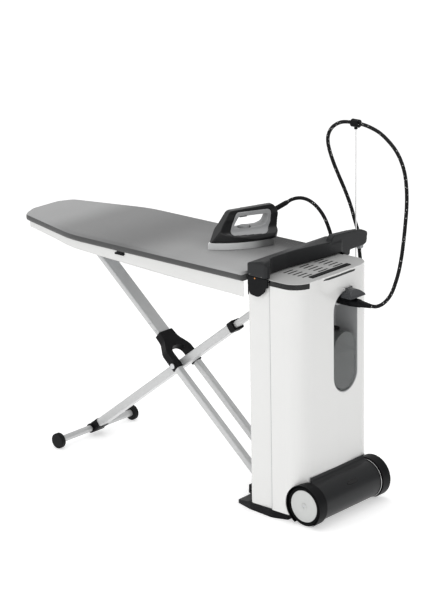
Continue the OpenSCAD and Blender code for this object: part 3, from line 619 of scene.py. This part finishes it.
# ---------------------------------------------------------------- iron
melted("iron_body", IRON, 0.0017, 7, "iron_body_shell")
melted("iron_inset", INSET, 0.0013, 5, "iron_inset_shell")
softened("iron_sole", SOLE, 0.0012, 3)
TURN = math.radians(68.1)
LONG = Vector((math.cos(TURN), math.sin(TURN), 0))
WIDE = Vector((-math.sin(TURN), math.cos(TURN), 0))
TIP = Vector((-0.319, -0.076, 0.8543))
iron_point = lambda x, y, z: TIP + LONG * x + WIDE * y + Vector((0, 0, z))
grip = lambda a, i: 1 + (0.018 * math.cos(24 * a) if i in (5, 6) else 0)
lathe("iron_dial_knob",
      [(0.0010, 0.0003), (0.0226, 0.0003), (0.0230, 0.0012), (0.0230, 0.0060), (0.0222, 0.0069),
       (0.0186, 0.0070),
       (0.0185, 0.0112), (0.0177, 0.0127), (0.0160, 0.0130), (0.0150, 0.0125), (0.0010, 0.0123)],
      iron_point(0.1394, 0, 0.0549), (0, 0, 1), [DIAL, GLOSS], "dial", ["iron_dial"], segments=144,
      bands=[1, 1, 1, 1, 1, 0, 0, 0, 0, 0], wave=grip)
relief_axis = LONG * math.sin(math.radians(68.7)) + Vector((0, 0, math.cos(math.radians(68.7))))
ribs = [(0.0010, 0.0), (0.0088, 0.0), (0.0089, 0.0250)]
for k in range(6):
    r, h = 0.0089, 0.0265 + 0.0050 * k
    ribs += [(r, h), (r, h + 0.0026), (r - 0.0012, h + 0.0030), (r - 0.0012, h + 0.0046)]
ribs += [(0.0089, 0.0570), (0.0089, 0.0590), (0.0078, 0.0670), (0.0074, 0.0686), (0.0010, 0.0686)]
lathe("iron_relief_ribs", ribs, iron_point(0.246, 0, 0.103), relief_axis, RUBBER, "iron", ["iron_relief"],
      segments=40)

# steam plug: bayonet, grip with rings, tapered relief
plug = [(0.0010, 0.0), (0.0106, 0.0), (0.0108, 0.0010), (0.0108, 0.0262), (0.0166, 0.0264), (0.0170, 0.0275)]
for k in range(5):
    h = 0.040 + 0.0065 * k
    plug += [(0.0170, h), (0.0160, h + 0.0010), (0.0160, h + 0.0030), (0.0170, h + 0.0040)]
plug += [(0.0170, 0.0790), (0.0165, 0.0830), (0.0138, 0.1190), (0.0132, 0.1205), (0.0122, 0.1210),
         (0.0118, 0.1250), (0.0080, 0.1600), (0.0074, 0.1655), (0.0064, 0.1660), (0.0010, 0.1660)]
lathe("steam_plug_grip", plug, (0.124, 0.056, 0.738), (1, 0, 0), BLACK, "housing", ["steam_plug"],
      segments=56)


# ---------------------------------------------------------------- small details
def slab(name, outline, low, high, axis, mat, body, width=0.0006):
    """A plate with a rounded outline, its thickness from low to high along axis X, Y or Z."""
    order = {"X": lambda u, v, w: (w, u, v),
             "Y": lambda u, v, w: (u, w, v),
             "Z": lambda u, v, w: (u, v, w)}[axis]
    bm = bmesh.new()
    a = [bm.verts.new(order(q[0], q[1], low)) for q in outline]
    b = [bm.verts.new(order(q[0], q[1], high)) for q in outline]
    bm.faces.new(a)
    bm.faces.new(b)
    for k in range(len(a)):
        bm.faces.new((a[k], a[(k + 1) % len(a)], b[(k + 1) % len(a)], b[k]))
    o = put(name, bm, mat, body)
    bevel = o.modifiers.new("edges", "BEVEL")
    bevel.width, bevel.segments, bevel.limit_method = width, 2, "ANGLE"
    o.modifiers.new("normals", "WEIGHTED_NORMAL")
    return o


def frame_box(x0, x1, y0, y1, r):
    return rounded([(x0, y0, r), (x1, y0, r), (x1, y1, r), (x0, y1, r)], 5)


# Painted shade: black plates at the grille's slots, standing for the shade inside them.
for i, x in enumerate((0.043, 0.062, 0.083, 0.104, 0.125)):
    for j, y in enumerate((-0.077, 0.005, 0.084)):
        slab("slot_shade_plate_%d_%d" % (i, j),
             frame_box(x - 0.0037, x + 0.0037, y - 0.0249, y + 0.0249,
                       0.0004), 0.8385, 0.8444, "Z", BLACK, "housing", 0.0002)
slab("top_bar", frame_box(0.1393, 0.1597, -0.0897, 0.1137, 0.004), 0.8432, 0.8474, "Z", BLACK, "housing",
     0.001)
slab("lens_strip", rounded([(-0.070, 0.8358, 0.001), (-0.040, 0.8328, 0.002), (0.095, 0.8328, 0.003),
                            (0.1025, 0.8378, 0.001), (0.070, 0.8402, 0.003), (-0.059, 0.8402, 0.001)], 4),
     0.1800, 0.1872, "X", GLOSS, "housing", 0.0003)
# arch linings round the wheels, open below so that they stay clear of the floor
for s, where in ((-1, "near"), (1, "far")):
    turn = [math.radians(-60 + 6 * k) for k in range(51)]
    arch = [(WX + 0.0744 * math.cos(a), WZ + 0.0744 * math.sin(a)) for a in turn]
    arch += [(WX + 0.0731 * math.cos(a), WZ + 0.0731 * math.sin(a)) for a in reversed(turn)]
    slab("wheel_arch_" + where, arch, 0.1520 * s, 0.1920 * s, "Y", BLACK, "housing", 0.0002)

# painted shadow: a grey strip standing for the shadow gap where the front shell stands proud of the rear column
for s, where in ((-1, "near"), (1, "far")):
    slab("shadow_gap_" + where, frame_box(0.0608, 0.0620, 0.030, 0.833, 0.0001), 0.1944 * s, 0.1952 * s, "Y", CLIP,
         "housing", 0.0001)

# raised arrow on the axle cover, laid on its curve
bm = bmesh.new()
arrow = rounded([(-0.030, 0.0, 0.001), (-0.016, 0.0072, 0.002), (0.024, 0.0072, 0.002),
                 (0.024, -0.0072, 0.002),
                 (-0.016, -0.0072, 0.002)], 3)
curl = lambda u, v, r: (WX + r * math.cos(math.radians(39) + v / 0.068), u + 0.008,
                        WZ + r * math.sin(math.radians(39) + v / 0.068))
low = [bm.verts.new(curl(p.x, p.y, 0.0675)) for p in arrow]
high = [bm.verts.new(curl(p.x, p.y, 0.0690)) for p in arrow]
bm.faces.new(high)
bm.faces.new(list(reversed(low)))
for k in range(len(low)):
    bm.faces.new((low[k], low[(k + 1) % len(low)], high[(k + 1) % len(low)], high[k]))
put("cover_arrow", bm, GLOSS, "housing", smooth=False)


def button(name, place, axis, radius, height, mat, body):
    """A small domed round: a rivet head, a lens or a printed dot."""
    profile = [(0.0004, 0), (radius, 0), (radius, height * 0.5), (radius * 0.8, height * 0.85),
               (0.0004, height)]
    return lathe(name, profile, place, axis, mat, body, segments=24)


button("height_lamp", (0.0055, -0.2049, 0.8435), (0, -1, 0), 0.0024, 0.0010, LAMP, "board")
button("height_mark_a", (-0.016, -0.2049, 0.855), (0, -1, 0), 0.0013, 0.0005, LIGHT, "board")
button("height_mark_b", (0.034, -0.2049, 0.852), (0, -1, 0), 0.0013, 0.0005, LIGHT, "board")
leg = math.atan2(0.386 - 0.060, -0.125 + 0.510)
for k, d in enumerate((0.655, 0.690)):
    place = (-0.125 - d * math.cos(leg), -0.0289, 0.060 + d * math.sin(leg))
    button("leg_rivet_%d" % k, place, (0, -1, 0), 0.0042, 0.0018, ZINC, "leg_a")
TANK_Y, TANK_LOW, WATER_R, WATER_LEVEL = 0.047, 0.4815, 0.0541, 0.557
arc = [(TANK_Y + WATER_R * math.cos(a), TANK_LOW + WATER_R * math.sin(a))
       for a in (math.radians(180 + 7.5 * k) for k in range(25))]
slab("tank_water", arc + [(0.1011, WATER_LEVEL), (-0.0071, WATER_LEVEL)], 0.1029, 0.1816, "X", WATER, "tank")

# ---------------------------------------------------------------- pieces whose CAD shape is already right
for node, mat in {"leg_hinge_pin": ZINC, "wheel_axle": ZINC, "boiler": BOILER, "pump": PUMP,
                  "solenoid_valve": PUMP,
                  "circuit_board": BOARD, "chassis": ZINC, "steam_pipe": COPPER, "board_mesh": ZINC,
                  "lift_posts": CHROME, "hose_rod": CHROME, "roller_rails": ZINC, "leg_a_tubes": LEG,
                  "leg_a_upper": LEG, "leg_a_roller": BLACK, "cross_pin": ZINC, "leg_b_outer": LEG,
                  "leg_b_inner": LEG, "leg_b_roller": BLACK, "foot_tube": LEG}.items():
    if not NODES[node].material_slots:
        NODES[node].data.materials.append(mat)
    for s in NODES[node].material_slots:
        s.link = "OBJECT"
        s.material = mat

# ---------------------------------------------------------------- studio
floor = bpy.data.meshes.new("floor")
floor.from_pydata([(-9, -9, 0), (9, -9, 0), (9, 9, 0), (-9, 9, 0)], [], [(0, 1, 2, 3)])
floor_object = bpy.data.objects.new("floor", floor)
scene.collection.objects.link(floor_object)
paper = bpy.data.materials.new("paper")
paper.use_nodes = True
paper.node_tree.nodes["Principled BSDF"].inputs["Base Color"].default_value = (0.90, 0.90, 0.90, 1)
paper.node_tree.nodes["Principled BSDF"].inputs["Roughness"].default_value = 0.8
paper.node_tree.nodes["Principled BSDF"].inputs["Specular IOR Level"].default_value = 0.1
paper.node_tree.nodes["Principled BSDF"].inputs["Emission Color"].default_value = (1, 1, 1, 1)
paper.node_tree.nodes["Principled BSDF"].inputs["Emission Strength"].default_value = 0.45
floor.materials.append(paper)

world = bpy.data.worlds.new("studio")
scene.world = world
world.use_nodes = True
n, l = world.node_tree.nodes, world.node_tree.links
n["Background"].inputs["Strength"].default_value = 0.72
sky = n.new("ShaderNodeTexCoord")
split = n.new("ShaderNodeSeparateXYZ")
l.new(sky.outputs["Generated"], split.inputs["Vector"])
dim = n.new("ShaderNodeMapRange")
dim.inputs["From Min"].default_value = 0.45
dim.inputs["From Max"].default_value = 0.9
dim.inputs["To Min"].default_value = 1.0
dim.inputs["To Max"].default_value = 0.45
l.new(split.outputs["X"], dim.inputs["Value"])
l.new(dim.outputs["Result"], n["Background"].inputs["Color"])


def soft_box(name, place, target, width, height, power):
    data = bpy.data.lights.new(name, "AREA")
    data.shape, data.size, data.size_y, data.energy = "RECTANGLE", width, height, power
    o = bpy.data.objects.new(name, data)
    scene.collection.objects.link(o)
    o.location = place
    o.rotation_euler = (Vector(target) - Vector(place)).to_track_quat("-Z", "Y").to_euler()


soft_box("overhead", (-0.6, 0.2, 3.6), (-0.3, 0, 0.6), 2.6, 2.0, 26)
soft_box("front_left", (-1.4, -3.4, 2.0), (-0.3, 0, 0.6), 1.6, 2.2, 13)
soft_box("right_side", (3.4, -2.6, 1.4), (0, 0, 0.6), 0.6, 2.4, 26)
scene.view_settings.view_transform = "Standard"
